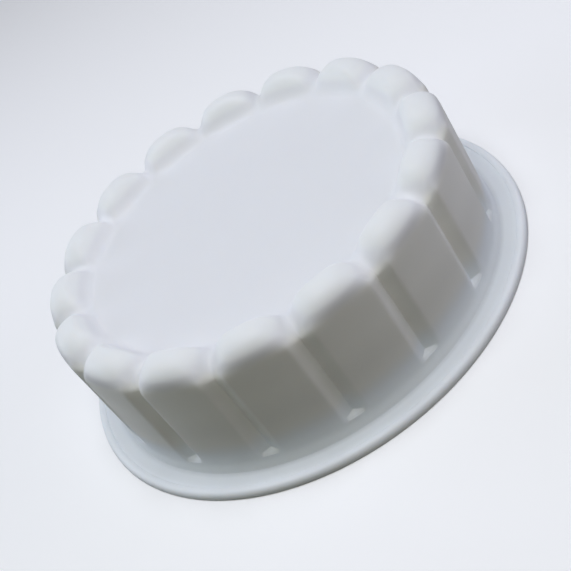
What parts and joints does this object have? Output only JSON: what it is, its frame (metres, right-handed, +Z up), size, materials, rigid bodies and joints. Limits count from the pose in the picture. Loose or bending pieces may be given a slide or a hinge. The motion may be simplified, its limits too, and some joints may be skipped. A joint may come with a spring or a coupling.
{
  "type": "silicone cake mould",
  "caption": "Round fluted silicone mousse cake mould: one soft moulding with a ring of tall round-topped fingers, a flat closed end and a beaded flange at its open rim.",
  "frame": {"origin": "centre of the plane that the rim stands on, under the middle of the mould", "axes": "+Z up through the closed end along the mould's axis; a finger is centred on +X"},
  "size_m": [0.225, 0.225, 0.066],
  "materials": {
    "silicone": "satin"
  },
  "bodies": {
    "root": {"mould_body": "silicone"}
  },
  "joints": []
}
